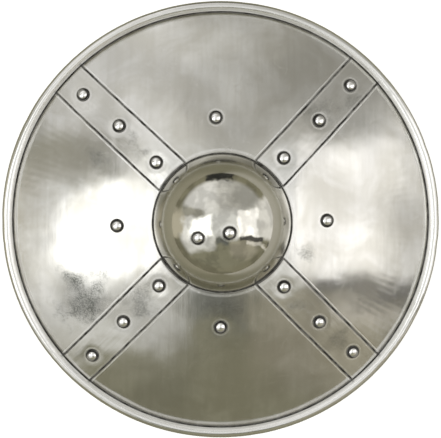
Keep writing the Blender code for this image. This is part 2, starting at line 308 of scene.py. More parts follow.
def dish_arc(radius, inner, outer, count):
    """Points on a sphere about the dish's centre, between two distances from the axis."""
    first = math.acos(inner / radius)
    last = math.acos(outer / radius)
    return arc((0, DISH_CENTRE_Z), radius, first, last, count)


def joined(*runs):
    """One closed outline from several runs of points, without points that lie on each other."""
    outline = []
    for run in runs:
        for point in run:
            if not outline or math.dist(point, outline[-1]) > MERGE * 10:
                outline.append(point)
    if math.dist(outline[0], outline[-1]) < MERGE * 10:
        outline.pop()
    return outline


def disc_outline():
    """The dish's front, the inside of the roll, its free edge, the outside of the roll and the back."""
    hole = BOSS_RADIUS + BOSS_HOLE_CLEARANCE
    centre = (ROLL_CENTRE, ROLL_RADIUS)
    leaves = math.radians(270) - RIM_SLOPE
    inner = ROLL_RADIUS - SHEET
    front_edge = DISH_RADIUS * math.sin(RIM_SLOPE)
    middle = ROLL_RADIUS - SHEET / 2
    steps = DISC_ARCS
    edge_start = hole + HOLE_CHAMFER
    free_edge = (
        ROLL_CENTRE + middle * math.cos(ROLL_END),
        ROLL_RADIUS + middle * math.sin(ROLL_END),
    )
    edge_turn = ROLL_END + math.pi / 2
    return joined(
        dish_arc(DISH_RADIUS, edge_start, front_edge, steps["front"]),
        arc(centre, inner, leaves, ROLL_END, steps["roll_inside"]),
        arc(free_edge, SHEET / 2, edge_turn + math.pi / 2, edge_turn - math.pi / 2, ROUND_EDGE),
        arc(centre, ROLL_RADIUS, ROLL_END, leaves, steps["roll_outside"]),
        dish_arc(BACK_RADIUS, BACK_RADIUS * math.sin(RIM_SLOPE), edge_start, steps["back"]),
        dish_arc(BACK_RADIUS + HOLE_CHAMFER, hole, hole, 1),
        dish_arc(DISH_RADIUS - HOLE_CHAMFER, hole, hole, 1),
    )


def boss_outline():
    """The dome's outside from its top, a small fillet, the flange, and back up the inside."""
    dome = (0, DOME_CENTRE_Z)
    inner_dome = DOME_RADIUS - SHEET
    tuck = DOME_RADIUS + FOOT_FILLET
    floor = FLANGE_FRONT + FOOT_FILLET
    rise = (tuck**2 - floor**2 + DISH_CENTRE_Z**2 - DOME_CENTRE_Z**2) / (
        2 * (DISH_CENTRE_Z - DOME_CENTRE_Z)
    )
    fillet = (math.sqrt(tuck**2 - (rise - DOME_CENTRE_Z) ** 2), rise)
    from_dome = math.atan2(fillet[1] - DOME_CENTRE_Z, fillet[0])
    from_dish = math.atan2(fillet[1] - DISH_CENTRE_Z, fillet[0])
    foot = FLANGE_FRONT * math.cos(from_dish)
    inner_foot_z = (inner_dome**2 - FLANGE_BACK**2 + DISH_CENTRE_Z**2 - DOME_CENTRE_Z**2) / (
        2 * (DISH_CENTRE_Z - DOME_CENTRE_Z)
    )
    inner_foot = math.sqrt(FLANGE_BACK**2 - (inner_foot_z - DISH_CENTRE_Z) ** 2)
    inner_turn = math.atan2(inner_foot_z - DOME_CENTRE_Z, inner_foot)
    top = math.pi / 2
    steps = BOSS_ARCS
    flange_edge = FLANGE_RADIUS - FLANGE_CHAMFER
    return joined(
        [(0, BOSS_TOP_Z)],
        arc(dome, DOME_RADIUS, top, from_dome, steps["dome"])[1:],
        arc(fillet, FOOT_FILLET, from_dome + math.pi, from_dish + math.pi, ROUND_EDGE),
        dish_arc(FLANGE_FRONT, foot, flange_edge, steps["flange"]),
        dish_arc(FLANGE_FRONT - FLANGE_CHAMFER, FLANGE_RADIUS, FLANGE_RADIUS, 1),
        dish_arc(FLANGE_BACK + FLANGE_CHAMFER, FLANGE_RADIUS, FLANGE_RADIUS, 1),
        dish_arc(FLANGE_BACK, flange_edge, inner_foot, steps["flange_back"]),
        arc(dome, inner_dome, inner_turn, top, steps["dome_back"])[:-1],
        [(0, BOSS_TOP_Z - SHEET)],
    )


def rivet_outline(grip):
    """A domed head over its seat at height 0, a shank through the grip, and a hammered tail."""
    quarter = math.pi / 2
    crown = [
        (HEAD_RADIUS * math.cos(a), HEAD_LIP + (HEAD_HEIGHT - HEAD_LIP) * math.sin(a))
        for a in np.linspace(quarter, 0, RIVET_ARCS["crown"])
    ]
    crown[0] = (0, HEAD_HEIGHT)
    lip = arc((HEAD_RADIUS - HEAD_LIP, HEAD_LIP), HEAD_LIP, 0, -quarter, ROUND_EDGE)
    bulge = 1 - TAIL_SHOULDER
    tail_bulge = [
        (TAIL_RADIUS * math.cos(a), -grip - TAIL_HEIGHT * (TAIL_SHOULDER + bulge * math.sin(a)))
        for a in np.linspace(0, quarter, RIVET_ARCS["tail"])
    ]
    tail_bulge[-1] = (0, -grip - TAIL_HEIGHT)
    return joined(
        crown,
        lip,
        [(SHANK_RADIUS, 0), (SHANK_RADIUS, -grip)],
        [(TAIL_RADIUS * TAIL_FOOT, -grip), (TAIL_RADIUS, -grip - TAIL_HEIGHT * TAIL_EDGE)],
        tail_bulge,
    )


def outline_mesh(name, points):
    mesh = bpy.data.meshes.new(name)
    mesh.from_pydata([(x, 0, z) for x, z in points], [], [])
    return mesh


# Nodes


def node(tree, kind, **settings):
    made = tree.nodes.new(kind)
    for name, value in settings.items():
        setattr(made, name, value)
    return made


def give(tree, socket, value):
    """Links a socket to another one, or sets it to a plain value."""
    if isinstance(value, bpy.types.NodeSocket):
        tree.links.new(value, socket)
    else:
        socket.default_value = value


def fill(tree, made, values):
    """Gives a node its inputs in turn, and returns its first output."""
    for socket, value in zip(made.inputs, values):
        give(tree, socket, value)
    return made.outputs[0]


def maths(tree, operation, *values):
    return fill(tree, node(tree, "ShaderNodeMath", operation=operation), values)


def plus(tree, first, second):
    return maths(tree, "ADD", first, second)


def minus(tree, first, second):
    return maths(tree, "SUBTRACT", first, second)


def times(tree, first, second):
    return maths(tree, "MULTIPLY", first, second)


def over(tree, first, second):
    return maths(tree, "DIVIDE", first, second)


def larger(tree, first, second):
    return maths(tree, "MAXIMUM", first, second)


def times_plus(tree, first, second, third):
    return maths(tree, "MULTIPLY_ADD", first, second, third)


def vector_maths(tree, operation, *values):
    return fill(tree, node(tree, "ShaderNodeVectorMath", operation=operation), values)


def xyz(tree, *parts):
    """A vector from its three parts."""
    return fill(tree, node(tree, "ShaderNodeCombineXYZ"), parts)


def axes(tree, vector):
    """The three parts of a vector."""
    split = node(tree, "ShaderNodeSeparateXYZ")
    give(tree, split.inputs[0], vector)
    return split.outputs[:]


def new_socket(tree, name, kind, value=None, out=False):
    socket = tree.interface.new_socket(name, in_out="OUTPUT" if out else "INPUT", socket_type=kind)
    if value is not None:
        socket.default_value = value


# Geometry Nodes trees


def geometry_tree(name, sockets):
    """An empty tree for a modifier. Its inputs are given as (name, kind, value)."""
    tree = bpy.data.node_groups.new(name, "GeometryNodeTree")
    tree.is_modifier = True
    for socket_name, kind, value in sockets:
        new_socket(tree, socket_name, "NodeSocket" + kind, value)
    new_socket(tree, "Result", "NodeSocketGeometry", out=True)
    return tree, node(tree, "NodeGroupInput").outputs


def finish_tree(tree, geometry, material):
    realize = node(tree, "GeometryNodeRealizeInstances")
    paint = node(tree, "GeometryNodeSetMaterial")
    give(tree, realize.inputs[0], geometry)
    give(tree, paint.inputs["Geometry"], realize.outputs[0])
    give(tree, paint.inputs["Material"], material)
    give(tree, node(tree, "NodeGroupOutput").inputs[0], paint.outputs[0])


def turned_sheet_tree():
    """Turns a chain of outline points about the upright axis."""
    sockets = (
        ("Outline", "Geometry", None),
        ("Outline Points", "Int", 16),
        ("Steps", "Int", 64),
        ("Closed Outline", "Bool", True),
        ("Finish", "Material", None),
    )
    tree, given = geometry_tree("turned_sheet", sockets)
    columns = plus(tree, given["Steps"], 1)
    grid = node(tree, "GeometryNodeMeshGrid")
    give(tree, grid.inputs["Vertices X"], plus(tree, given["Outline Points"], given["Closed Outline"]))
    give(tree, grid.inputs["Vertices Y"], columns)
    index = node(tree, "GeometryNodeInputIndex").outputs[0]
    row = maths(tree, "FLOOR", over(tree, plus(tree, index, 0.5), columns))
    column = minus(tree, index, times(tree, row, columns))
    sample = node(tree, "GeometryNodeSampleIndex", data_type="FLOAT_VECTOR", domain="POINT")
    give(tree, sample.inputs["Geometry"], given["Outline"])
    give(tree, sample.inputs["Value"], node(tree, "GeometryNodeInputPosition").outputs[0])
    give(tree, sample.inputs["Index"], maths(tree, "FLOORED_MODULO", row, given["Outline Points"]))
    out, _, up = axes(tree, sample.outputs["Value"])
    share = over(tree, maths(tree, "FLOORED_MODULO", column, given["Steps"]), given["Steps"])
    turn = times(tree, share, 2 * math.pi)
    x = times(tree, out, maths(tree, "COSINE", turn))
    y = times(tree, out, maths(tree, "SINE", turn))
    bend = node(tree, "GeometryNodeSetPosition")
    give(tree, bend.inputs["Geometry"], grid.outputs["Mesh"])
    give(tree, bend.inputs["Position"], xyz(tree, x, y, up))
    merge = node(tree, "GeometryNodeMergeByDistance")
    merge.inputs["Distance"].default_value = MERGE
    give(tree, merge.inputs["Geometry"], bend.outputs[0])
    finish_tree(tree, merge.outputs[0], given["Finish"])
    return tree


def random_number(tree, low, high, seed):
    made = node(tree, "FunctionNodeRandomValue", data_type="FLOAT")
    give(tree, made.inputs[2], low)
    give(tree, made.inputs[3], high)
    give(tree, made.inputs["Seed"], seed)
    return made.outputs[1]


def rivet_row_tree():
    """Sets one turned rivet on every point, along the point's own direction, each a little different."""
    sockets = (
        ("Places", "Geometry", None),
        ("Rivet", "Object", None),
        ("Width Variation", "Float", 0.02),
        ("Seed", "Int", 1),
        ("Finish", "Material", None),
    )
    tree, given = geometry_tree("rivet_row", sockets)
    source = node(tree, "GeometryNodeObjectInfo")
    give(tree, source.inputs["Object"], given["Rivet"])
    way = node(tree, "GeometryNodeInputNamedAttribute", data_type="FLOAT_VECTOR")
    way.inputs["Name"].default_value = "way"
    align = node(tree, "FunctionNodeAlignRotationToVector", axis="Z")
    give(tree, align.inputs["Vector"], way.outputs["Attribute"])
    width = random_number(tree, minus(tree, 1, given["Width Variation"]), 1.0, given["Seed"])
    spin = random_number(tree, 0.0, 2 * math.pi, given["Seed"])
    place = node(tree, "GeometryNodeInstanceOnPoints")
    give(tree, place.inputs["Points"], given["Places"])
    give(tree, place.inputs["Instance"], source.outputs["Geometry"])
    give(tree, place.inputs["Rotation"], align.outputs[0])
    give(tree, place.inputs["Scale"], xyz(tree, width, width, 1.0))
    turned = node(tree, "GeometryNodeRotateInstances")
    give(tree, turned.inputs["Instances"], place.outputs[0])
    give(tree, turned.inputs["Rotation"], xyz(tree, 0.0, 0.0, spin))
    finish_tree(tree, turned.outputs[0], given["Finish"])
    return tree


def bake_tree(name, mesh, tree, values):
    """Runs a tree on a mesh and returns its result as a plain mesh."""
    helper = bpy.data.objects.new(name, mesh)
    bpy.context.scene.collection.objects.link(helper)
    modifier = helper.modifiers.new(tree.name, "NODES")
    modifier.node_group = tree
    for item in tree.interface.items_tree:
        if item.name in values:
            modifier[item.identifier] = values[item.name]
    graph = bpy.context.evaluated_depsgraph_get()
    baked = bpy.data.meshes.new_from_object(helper.evaluated_get(graph))
    bpy.data.objects.remove(helper)
    baked.name = name
    return baked


def turn_outline(name, outline, steps, tree, material, closed=True):
    values = {
        "Outline Points": len(outline),
        "Steps": steps,
        "Closed Outline": closed,
        "Finish": material,
    }
    return bake_tree(name, outline_mesh(name, outline), tree, values)


# Finished pieces


def mesh_points(mesh):
    flat = np.empty(len(mesh.vertices) * 3)
    mesh.vertices.foreach_get("co", flat)
    return flat.reshape(-1, 3)


def set_points(mesh, points):
    mesh.vertices.foreach_set("co", points.ravel())
    mesh.update()


def set_mask(mesh, name, values):
    mask = mesh.attributes.new(name, "FLOAT", "POINT")
    mask.data.foreach_set("value", np.clip(values, 0, 1).astype(np.float32))


def clean(mesh):
    """Merges doubles and turns every face outward."""
    shape = bmesh.new()
    shape.from_mesh(mesh)
    bmesh.ops.remove_doubles(shape, verts=shape.verts, dist=MERGE)
    bmesh.ops.dissolve_degenerate(shape, edges=shape.edges, dist=MERGE)
    bmesh.ops.recalc_face_normals(shape, faces=shape.faces)
    shape.to_mesh(mesh)
    shape.free()


def finish_piece(name, mesh, nodes, material):
    mesh.name = name
    mesh.shade_smooth()
    mesh.set_sharp_from_angle(angle=CREASE)
    mesh.materials.clear()
    mesh.materials.append(material)
    piece = bpy.data.objects.new(name, mesh)
    bpy.context.scene.collection.objects.link(piece)
    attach(piece, "root")
    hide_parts(*nodes)
    return piece


# What looks down, and the crowns that keep part of the painted shade off the rivets' flanks, as tilts and
# heights
UNDERSIDE_TILT = (0.1, -0.3)
CROWN_TILT = (0.815, 0.875)
CROWN_HEIGHTS = (0.0045, 0.0056)
CROWN_UNSHADED = 0.5


def upward(mesh):
    """How far each point's normal looks up, from -1 to 1."""
    flat = np.empty(len(mesh.vertices) * 3)
    mesh.vertices.foreach_get("normal", flat)
    return flat.reshape(-1, 3)[:, 2]


def underside(mesh):
    """1 on faces that look down."""
    return smooth_step(*UNDERSIDE_TILT, upward(mesh))


def make_disc(tree, material):
    mesh = turn_outline("shield_disc_fine", disc_outline(), DISC_STEPS, tree, material)
    clean(mesh)
    set_points(mesh, dent_roll(press_dish(mesh_points(mesh))))
    set_mask(mesh, "underside", underside(mesh))
    finish_piece("shield_disc_fine", mesh, ["shield_disc"], material)


def make_boss(tree, material):
    mesh = turn_outline("boss_fine", boss_outline(), BOSS_STEPS, tree, material)
    clean(mesh)
    set_points(mesh, press_boss(mesh_points(mesh)))
    set_mask(mesh, "underside", underside(mesh))
    finish_piece("boss_fine", mesh, ["boss"], material)


def edge_steps(length, wall, rounding, spacing):
    """Steps across a strip as (distance across, height): up over a rounded edge, level, and down again."""
    turns = np.linspace(0, math.pi / 2, ROUND_EDGE)
    rise = [(0, 0), (0, (wall - rounding) / 2)]
    rise += [
        (rounding * (1 - math.cos(a)), wall - rounding + rounding * math.sin(a)) for a in turns
    ]
    count = max(2, round((length - 2 * rounding) / spacing))
    level = [(s, wall) for s in np.linspace(rounding, length - rounding, count + 1)[1:-1]]
    fall = [(length - s, h) for s, h in reversed(rise)]
    return rise + level + fall


def flat_steps(steps):
    """The same steps across, all at height 0."""
    return [(s, 0) for s in sorted({s for s, _ in steps})]


def strip_mesh(name, long_steps, cross_steps, place):
    """A closed strip. place(along, across, height) gives the points for arrays of those."""
    grids = []
    for u, v in ((long_steps, cross_steps), (flat_steps(long_steps), flat_steps(cross_steps))):
        along = np.array([[s for _ in v] for s, _ in u])
        across = np.array([[t for t, _ in v] for _ in u])
        height = np.array([[min(h, g) for _, g in v] for _, h in u])
        grids.append((len(u), len(v), place(along.ravel(), across.ravel(), height.ravel())))
    points = []
    faces = []
    for rows, columns, grid in grids:
        start = len(points)
        points += [tuple(p) for p in grid]
        for i in range(rows - 1):
            for j in range(columns - 1):
                a = start + i * columns + j
                faces.append((a, a + 1, a + columns + 1, a + columns))
    mesh = bpy.data.meshes.new(name)
    mesh.from_pydata(points, [], faces)
    clean(mesh)
    return mesh


def make_band(place_name, degrees, material):
    """A parallel strip of sheet lying on the dish, its ends cut round to follow the boss and the roll."""
    turn = math.radians(degrees)
    inner = BOSS_RADIUS + BAND_TO_BOSS
    outer = ROLL_CENTRE - ROLL_RADIUS - BAND_TO_ROLL
    length = outer - inner

    def on_dish(along, across, height):
        side = across - BAND_WIDTH / 2
        start = np.sqrt(inner**2 - side**2)
        end = np.sqrt(outer**2 - side**2)
        out = start + (end - start) * along / length
        x = out * math.cos(turn) - side * math.sin(turn)
        y = out * math.sin(turn) + side * math.cos(turn)
        radius = BAND_BACK + height
        z = DISH_CENTRE_Z + np.sqrt(radius**2 - x**2 - y**2)
        return press_dish(np.stack([x, y, z], axis=1))

    long_steps = edge_steps(length, SHEET, BAND_ROUNDING, BAND_SPACING)
    cross_steps = edge_steps(BAND_WIDTH, SHEET, BAND_ROUNDING, BAND_SPACING)
    name = "strap_" + place_name + "_fine"
    mesh = strip_mesh(name, long_steps, cross_steps, on_dish)
    set_mask(mesh, "underside", underside(mesh))
    finish_piece(name, mesh, ["strap_" + place_name], material)


def make_rivet_set(name, centre, seats, grip, trees, nodes, seed, material):
    """Rivets alike in grip. Each seat is (direction from the centre, distance of the head's seat)."""
    outline = rivet_outline(grip)
    rivet = turn_outline(name + "_one", outline, RIVET_STEPS, trees["turned"], material, False)
    clean(rivet)
    pattern = bpy.data.objects.new(name + "_one", rivet)
    bpy.context.scene.collection.objects.link(pattern)
    places = bpy.data.meshes.new(name + "_places")
    places.from_pydata([centre + way * seat for way, seat in seats], [], [])
    ways = places.attributes.new("way", "FLOAT_VECTOR", "POINT")
    ways.data.foreach_set("vector", [part for way, _ in seats for part in way])
    values = {"Rivet": pattern, "Seed": seed, "Finish": material}
    mesh = bake_tree(name, places, trees["rivets"], values)
    bpy.data.objects.remove(pattern)
    clean(mesh)
    points = mesh_points(mesh)
    crown = np.zeros(len(points))
    for way, seat in seats:
        offset = points - np.array(centre + way * seat)
        near = np.linalg.norm(offset, axis=1) < HEAD_RADIUS * 2
        crown = np.where(near, smooth_step(*CROWN_HEIGHTS, offset @ np.array(way)), crown)
    # Painted shade on each rivet's flanks, standing for the contact shadow at its foot and the dark room
    # its sides mirror; the crown keeps part of it off
    dark = (1 - smooth_step(*CROWN_TILT, upward(mesh))) * (1 - CROWN_UNSHADED * crown)
    set_mask(mesh, "flank", dark)
    finish_piece(name, mesh, nodes, material)


def dish_seats(points, front):
    seats = []
    for x, y in points:
        swell = float(sheet_swell(np.array([x]), np.array([y]))[0])
        seats.append((way_out(DISH_CENTRE, DISH_RADIUS, x, y), front + swell + SEAT_LIFT))
    return seats


def make_rivets(trees, material):
    rows = ("inner", "middle", "outer")
    names = [f"strap_rivet_{place}_{row}" for row in rows for place in BAND_ANGLES]
    flange_grip = BAND_FRONT - FLANGE_BACK + SEAT_LIFT * 2
    disc_grip = BAND_FRONT - BACK_RADIUS + SEAT_LIFT * 2
    seats = dish_seats(band_rivet_points(), BAND_FRONT)
    inner = len(BAND_ANGLES)
    make_rivet_set(
        "inner_strap_rivets", DISH_CENTRE, seats[:inner], flange_grip, trees, names[:inner], 21, material
    )
    make_rivet_set(
        "outer_strap_rivets", DISH_CENTRE, seats[inner:], disc_grip, trees, names[inner:], 22, material
    )
    grip_seats = dish_seats(grip_rivet_points(), DISH_RADIUS)
    leather_grip = DISH_RADIUS - leather_front_radius() + LEATHER + SEAT_LIFT * 2
    grip_names = ["grip_rivet_" + place for place in GRIP_RIVET_ANGLES]
    make_rivet_set(
        "grip_rivets", DISH_CENTRE, grip_seats, leather_grip, trees, grip_names, 23, material
    )
    boss_seats = []
    for x, y in BOSS_RIVETS:
        seat = DOME_RADIUS - BOSS_SEAT**2 / (2 * DOME_RADIUS) - BOSS_SEAT_DEPTH + SEAT_LIFT
        boss_seats.append((way_out(DOME_CENTRE, DOME_RADIUS, x, y), seat))
    boss_names = ["boss_rivet_left", "boss_rivet_right"]
    make_rivet_set(
        "boss_rivets", DOME_CENTRE, boss_seats, SHEET + SEAT_LIFT * 2, trees, boss_names, 24, material
    )


def leather_front_radius():
    """Where the leather's riveted face lies, clear of the flange across its whole width."""
    return FLANGE_BACK - GAP - LEATHER_WIDTH**2 / (8 * DISH_RADIUS)


def loop_points(half_turn):
    """The riveted face of a leather loop in its own plane, as (along, up) from the dish's centre."""
    radius = leather_front_radius()
    end = half_turn + LEATHER_TAB / radius
    leave = half_turn - LEATHER_LIFT / radius
    turns = np.linspace(end, leave, LOOP_ARCS["tab"])
    tab = np.stack([-radius * np.sin(turns), radius * np.cos(turns)], axis=1)
    start = tab[-1]
    along = np.array([math.cos(leave), math.sin(leave)])
    middle = np.array([0, radius - LEATHER_SLACK])
    reach = -start[0] / 2
    bend = start + along * reach * LEATHER_BEND
    belly = middle - np.array([reach * LEATHER_BELLY, 0])
    t = np.linspace(0, 1, LOOP_ARCS["hanging"])[:, None]
    s = 1 - t
    curve = start * s**3 + bend * 3 * s * s * t + belly * 3 * s * t * t + middle * t**3
    half = np.concatenate([tab, curve[1:]])
    return np.concatenate([half, half[-2::-1] * np.array([-1, 1])])


def make_loop(name, ends, material):
    """A leather band riveted at both ends, with rounded ends and edges, sagging between."""
    angles = [GRIP_RIVET_ANGLES[end] for end in ends]
    first, second = (
        way_out(DISH_CENTRE, DISH_RADIUS, x, y) for x, y in plan_points(GRIP_RIVET_RADIUS, angles)
    )
    up = (first + second).normalized()
    along_way = (second - first).normalized()
    across_way = up.cross(along_way)
    path = loop_points(first.angle(second) / 2)
    lengths = np.concatenate([[0], np.cumsum(np.linalg.norm(np.diff(path, axis=0), axis=1))])
    whole = lengths[-1]
    tangent = np.gradient(path, lengths, axis=0)
    tangent /= np.linalg.norm(tangent, axis=1, keepdims=True)

    def on_path(along, across, height):
        at = np.stack([np.interp(along, lengths, path[:, k]) for k in (0, 1)], axis=1)
        ahead = np.stack([np.interp(along, lengths, tangent[:, k]) for k in (0, 1)], axis=1)
        ahead /= np.linalg.norm(ahead, axis=1, keepdims=True)
        down = np.stack([ahead[:, 1], -ahead[:, 0]], axis=1)
        flat = at + down * (LEATHER - height)[:, None]
        short = np.clip(np.minimum(along, whole - along), 0, LEATHER_CORNER)
        narrowing = LEATHER_CORNER - np.sqrt(LEATHER_CORNER**2 - (LEATHER_CORNER - short) ** 2)
        half_width = LEATHER_WIDTH / 2 - narrowing
        side = (across / LEATHER_WIDTH * 2 - 1) * half_width
        ways = (np.array(along_way), np.array(up), np.array(across_way))
        spot = flat[:, :1] * ways[0] + flat[:, 1:] * ways[1] + side[:, None] * ways[2]
        return np.array(DISH_CENTRE) + spot

    long_steps = edge_steps(whole, LEATHER, LEATHER_ROUNDING, LEATHER_SPACING)
    cross_steps = edge_steps(LEATHER_WIDTH, LEATHER, LEATHER_ROUNDING, LEATHER_SPACING)
    mesh = strip_mesh(name + "_fine", long_steps, cross_steps, on_path)
    finish_piece(name + "_fine", mesh, [name], material)


# Shader node groups

ORIGIN = (0.0, 0.0, 0.0)

# Painted shade in the joints, rings and creases, and the painted highlight with some rubbed polish beside
# them, as distances from a joint's line
JOINT = (0.0020, 0.0009)
JOINT_WANDER = 0.0016
JOINT_WANDER_SCALE = 42.0
BESIDE_JOINT = 0.0032
BESIDE_JOINT_WIDTH = 0.0016
EDGE_HIGHLIGHT_AND_WEAR = 0.0030
EDGE_HIGHLIGHT_AND_WEAR_WIDTH = 0.0014
EDGE_HIGHLIGHT_AND_WEAR_SHINE = 0.55
JOINT_START = (BOSS_RADIUS - 0.004, BOSS_RADIUS)
HEAD_RING = 0.0014
FOOT_RING = 0.0027
ROLL_START = (-0.0002, 0.0004)
FLANK_HIGHLIGHT_AND_POLISH_END = (0.0046, 0.0030)

# A ring's painted shade and its painted highlight, as shares of its width
RING_FADE = (1.0, 0.35)
SHINY_RING = 2.0
SHINY_RING_FADE = (1.1, 0.2)
RING_SHINE = 0.5

# What breaks up joints and stains, the stray scratches, and the ripples inside the rim
UNEVEN_SCALE = 75.0
STAIN_EDGE_SCALE = 34.0
STAIN_RAGGEDNESS = 1.3
STAIN_SPECKLE_SCALE = 480.0
STAIN_SPECKLE = (0.35, 1.25)
STAIN_FADE = (1.3, 0.0)
SCRATCH_RUNS = ((0.35, 0.11), (-0.9, 0.16), (1.45, 0.13))
SCRATCH_LEVEL = 0.62
SCRATCH_WIDTH = 0.006
RIPPLES_ROUND = 178
RIPPLED_EDGE = (0.205, 0.262)


def shader_group(name, outputs, **inputs):
    """An empty group with float or vector inputs, given by their values, and float outputs."""
    tree = bpy.data.node_groups.new(name, "ShaderNodeTree")
    for socket_name, value in inputs.items():
        kind = "NodeSocketVector" if isinstance(value, tuple) else "NodeSocketFloat"
        new_socket(tree, socket_name, kind, value)
    for socket_name in outputs:
        new_socket(tree, socket_name, "NodeSocketFloat", out=True)
    return tree, node(tree, "NodeGroupInput").outputs, node(tree, "NodeGroupOutput").inputs


def noise(tree, vector, scale, detail=3.0, roughness=0.5, distortion=0.0):
    made = node(tree, "ShaderNodeTexNoise")
    give(tree, made.inputs["Vector"], vector)
    give(tree, made.inputs["Scale"], scale)
    made.inputs["Detail"].default_value = detail
    made.inputs["Roughness"].default_value = roughness
    made.inputs["Distortion"].default_value = distortion
    return made.outputs[0]


def ramp(tree, value, low, high, to_low=0.0, to_high=1.0, smooth=True):
    """Maps a value between two limits onto two others."""
    made = node(tree, "ShaderNodeMapRange", clamp=True)
    made.interpolation_type = "SMOOTHSTEP" if smooth else "LINEAR"
    return fill(tree, made, (value, low, high, to_low, to_high))


def turned_about_z(tree, vector, angle):
    turn = node(tree, "ShaderNodeVectorRotate", rotation_type="Z_AXIS")
    give(tree, turn.inputs["Vector"], vector)
    give(tree, turn.inputs["Angle"], angle)
    return turn.outputs[0]


def plan_length(tree, vector):
    """How far a place is from the upright axis."""
    length = node(tree, "ShaderNodeVectorMath", operation="LENGTH")
    give(tree, length.inputs[0], vector_maths(tree, "MULTIPLY", vector, (1.0, 1.0, 0.0)))
    return length.outputs["Value"]


def polishing_lines_group():
    """Fine lines left by the polishing belt, and the broader soft streaks among them, along local Y."""
    tree, given, put = shader_group(
        "polishing_lines", ("Lines", "Streaks"), Position=ORIGIN, Turn=0.0, Spacing=0.001, Length=0.08
    )
    turned = turned_about_z(tree, given["Position"], given["Turn"])
    across = over(tree, 1.0, given["Spacing"])
    down = over(tree, 1.0, given["Length"])
    drawn = vector_maths(tree, "MULTIPLY", turned, xyz(tree, across, down, down))
    give(tree, put["Lines"], noise(tree, drawn, 1.0, 4.0, 0.65))
    broad = vector_maths(tree, "MULTIPLY", drawn, (0.12, 0.7, 0.7))
    give(tree, put["Streaks"], ramp(tree, noise(tree, broad, 1.0, 2.0), 0.3, 0.7))
    return tree


def cloudy_patches_group():
    """Uneven dull and bright patches on handled bare metal, smaller smudges, and a soft swell."""
    outputs = ("Clouds", "Smudges", "Swell")
    tree, given, put = shader_group("cloudy_patches", outputs, Position=ORIGIN, Size=0.06, Seed=0.0)
    moved = vector_maths(tree, "ADD", given["Position"], xyz(tree, 0.0, 0.0, given["Seed"]))
    scale = over(tree, 1.0, given["Size"])
    clouds = noise(tree, moved, scale, 3.0, 0.55, 0.5)
    give(tree, put["Clouds"], ramp(tree, clouds, 0.36, 0.66))
    smudges = noise(tree, moved, times(tree, scale, 3.7), 5.0, 0.62, 0.9)
    give(tree, put["Smudges"], ramp(tree, smudges, 0.50, 0.72))
    give(tree, put["Swell"], noise(tree, moved, times(tree, scale, 1.3), 2.0, 0.36))
    return tree


def scratches_group():
    """Stray hairline scratches in three directions."""
    tree, given, put = shader_group("stray_scratches", ("Scratches",), Position=ORIGIN, Spacing=0.006)
    scale = over(tree, 1.0, given["Spacing"])
    lines = []
    for angle, length in SCRATCH_RUNS:
        turned = turned_about_z(tree, given["Position"], angle)
        stretched = vector_maths(tree, "MULTIPLY", turned, (1.0, length, length))
        scaled = vector_maths(tree, "MULTIPLY", stretched, xyz(tree, scale, scale, scale))
        level = minus(tree, noise(tree, scaled, 1.0, 1.0, 0.4), SCRATCH_LEVEL)
        lines.append(ramp(tree, maths(tree, "ABSOLUTE", level), SCRATCH_WIDTH, 0.0))
    give(tree, put["Scratches"], largest(tree, lines))
    return tree


def uneven_mask_group():
    """Breaks a smooth mask up, so that the painted shade in a joint and the painted highlight beside it are
    uneven.
    """
    tree, given, put = shader_group("uneven_mask", ("Uneven",), Position=ORIGIN, Mask=0.0, Unevenness=0.3)
    broken = ramp(tree, noise(tree, given["Position"], UNEVEN_SCALE, 3.0, 0.6), 0.35, 0.65)
    kept = minus(tree, 1.0, times(tree, given["Unevenness"], broken))
    give(tree, put["Uneven"], times(tree, given["Mask"], kept))
    return tree


def band_edge_group():
    """For one band: painted shade in the joint along its edges, and strips of painted highlight with some
    polish on either side of it.
    """
    tree, given, put = shader_group("band_edge", ("Joint", "Highlight And Polish"), Position=ORIGIN, Turn=0.0)
    turned = turned_about_z(tree, given["Position"], given["Turn"])
    along, across, _ = axes(tree, turned)
    wandering = noise(tree, turned, JOINT_WANDER_SCALE)
    wander = times_plus(tree, wandering, JOINT_WANDER, -JOINT_WANDER / 2)
    aside = minus(tree, plus(tree, maths(tree, "ABSOLUTE", across), wander), BAND_WIDTH / 2)
    inside_roll = maths(tree, "LESS_THAN", plan_length(tree, turned), ROLL_CENTRE - ROLL_RADIUS)
    here = times(tree, ramp(tree, along, *JOINT_START), inside_roll)
    joint = ramp(tree, maths(tree, "ABSOLUTE", aside), *JOINT)
    give(tree, put["Joint"], times(tree, joint, here))
    outside = maths(tree, "ABSOLUTE", minus(tree, aside, BESIDE_JOINT))
    inside = maths(tree, "ABSOLUTE", plus(tree, aside, EDGE_HIGHLIGHT_AND_WEAR))
    outer_strip = ramp(tree, outside, BESIDE_JOINT_WIDTH, 0.0)
    edge_highlight_and_wear_strip = ramp(tree, inside, EDGE_HIGHLIGHT_AND_WEAR_WIDTH, 0.0, 0.0, EDGE_HIGHLIGHT_AND_WEAR_SHINE)
    give(tree, put["Highlight And Polish"], times(tree, larger(tree, outer_strip, edge_highlight_and_wear_strip), here))
    return tree


def ring_group():
    """A ring of painted shade about an upright axis and a ring of painted highlight outside it: rivets, the
    boss's foot, the rim.

    With a rise of 1 it also fades with height, so that it stays in a crease and off the wall above it.
    """
    tree, given, put = shader_group(
        "ring", ("Ring", "Highlight And Polish"), Position=ORIGIN, Centre=ORIGIN, Radius=0.01, Width=0.001, Rise=0.0
    )
    away = vector_maths(tree, "SUBTRACT", given["Position"], given["Centre"])
    out = minus(tree, plan_length(tree, away), given["Radius"])
    up = times(tree, axes(tree, away)[2], given["Rise"])
    gap = maths(tree, "SQRT", times_plus(tree, out, out, times(tree, up, up)))
    give(tree, put["Ring"], ramp(tree, over(tree, gap, given["Width"]), *RING_FADE))
    beyond = maths(tree, "ABSOLUTE", minus(tree, over(tree, out, given["Width"]), SHINY_RING))
    give(tree, put["Highlight And Polish"], ramp(tree, beyond, *SHINY_RING_FADE, 0.0, RING_SHINE))
    return tree


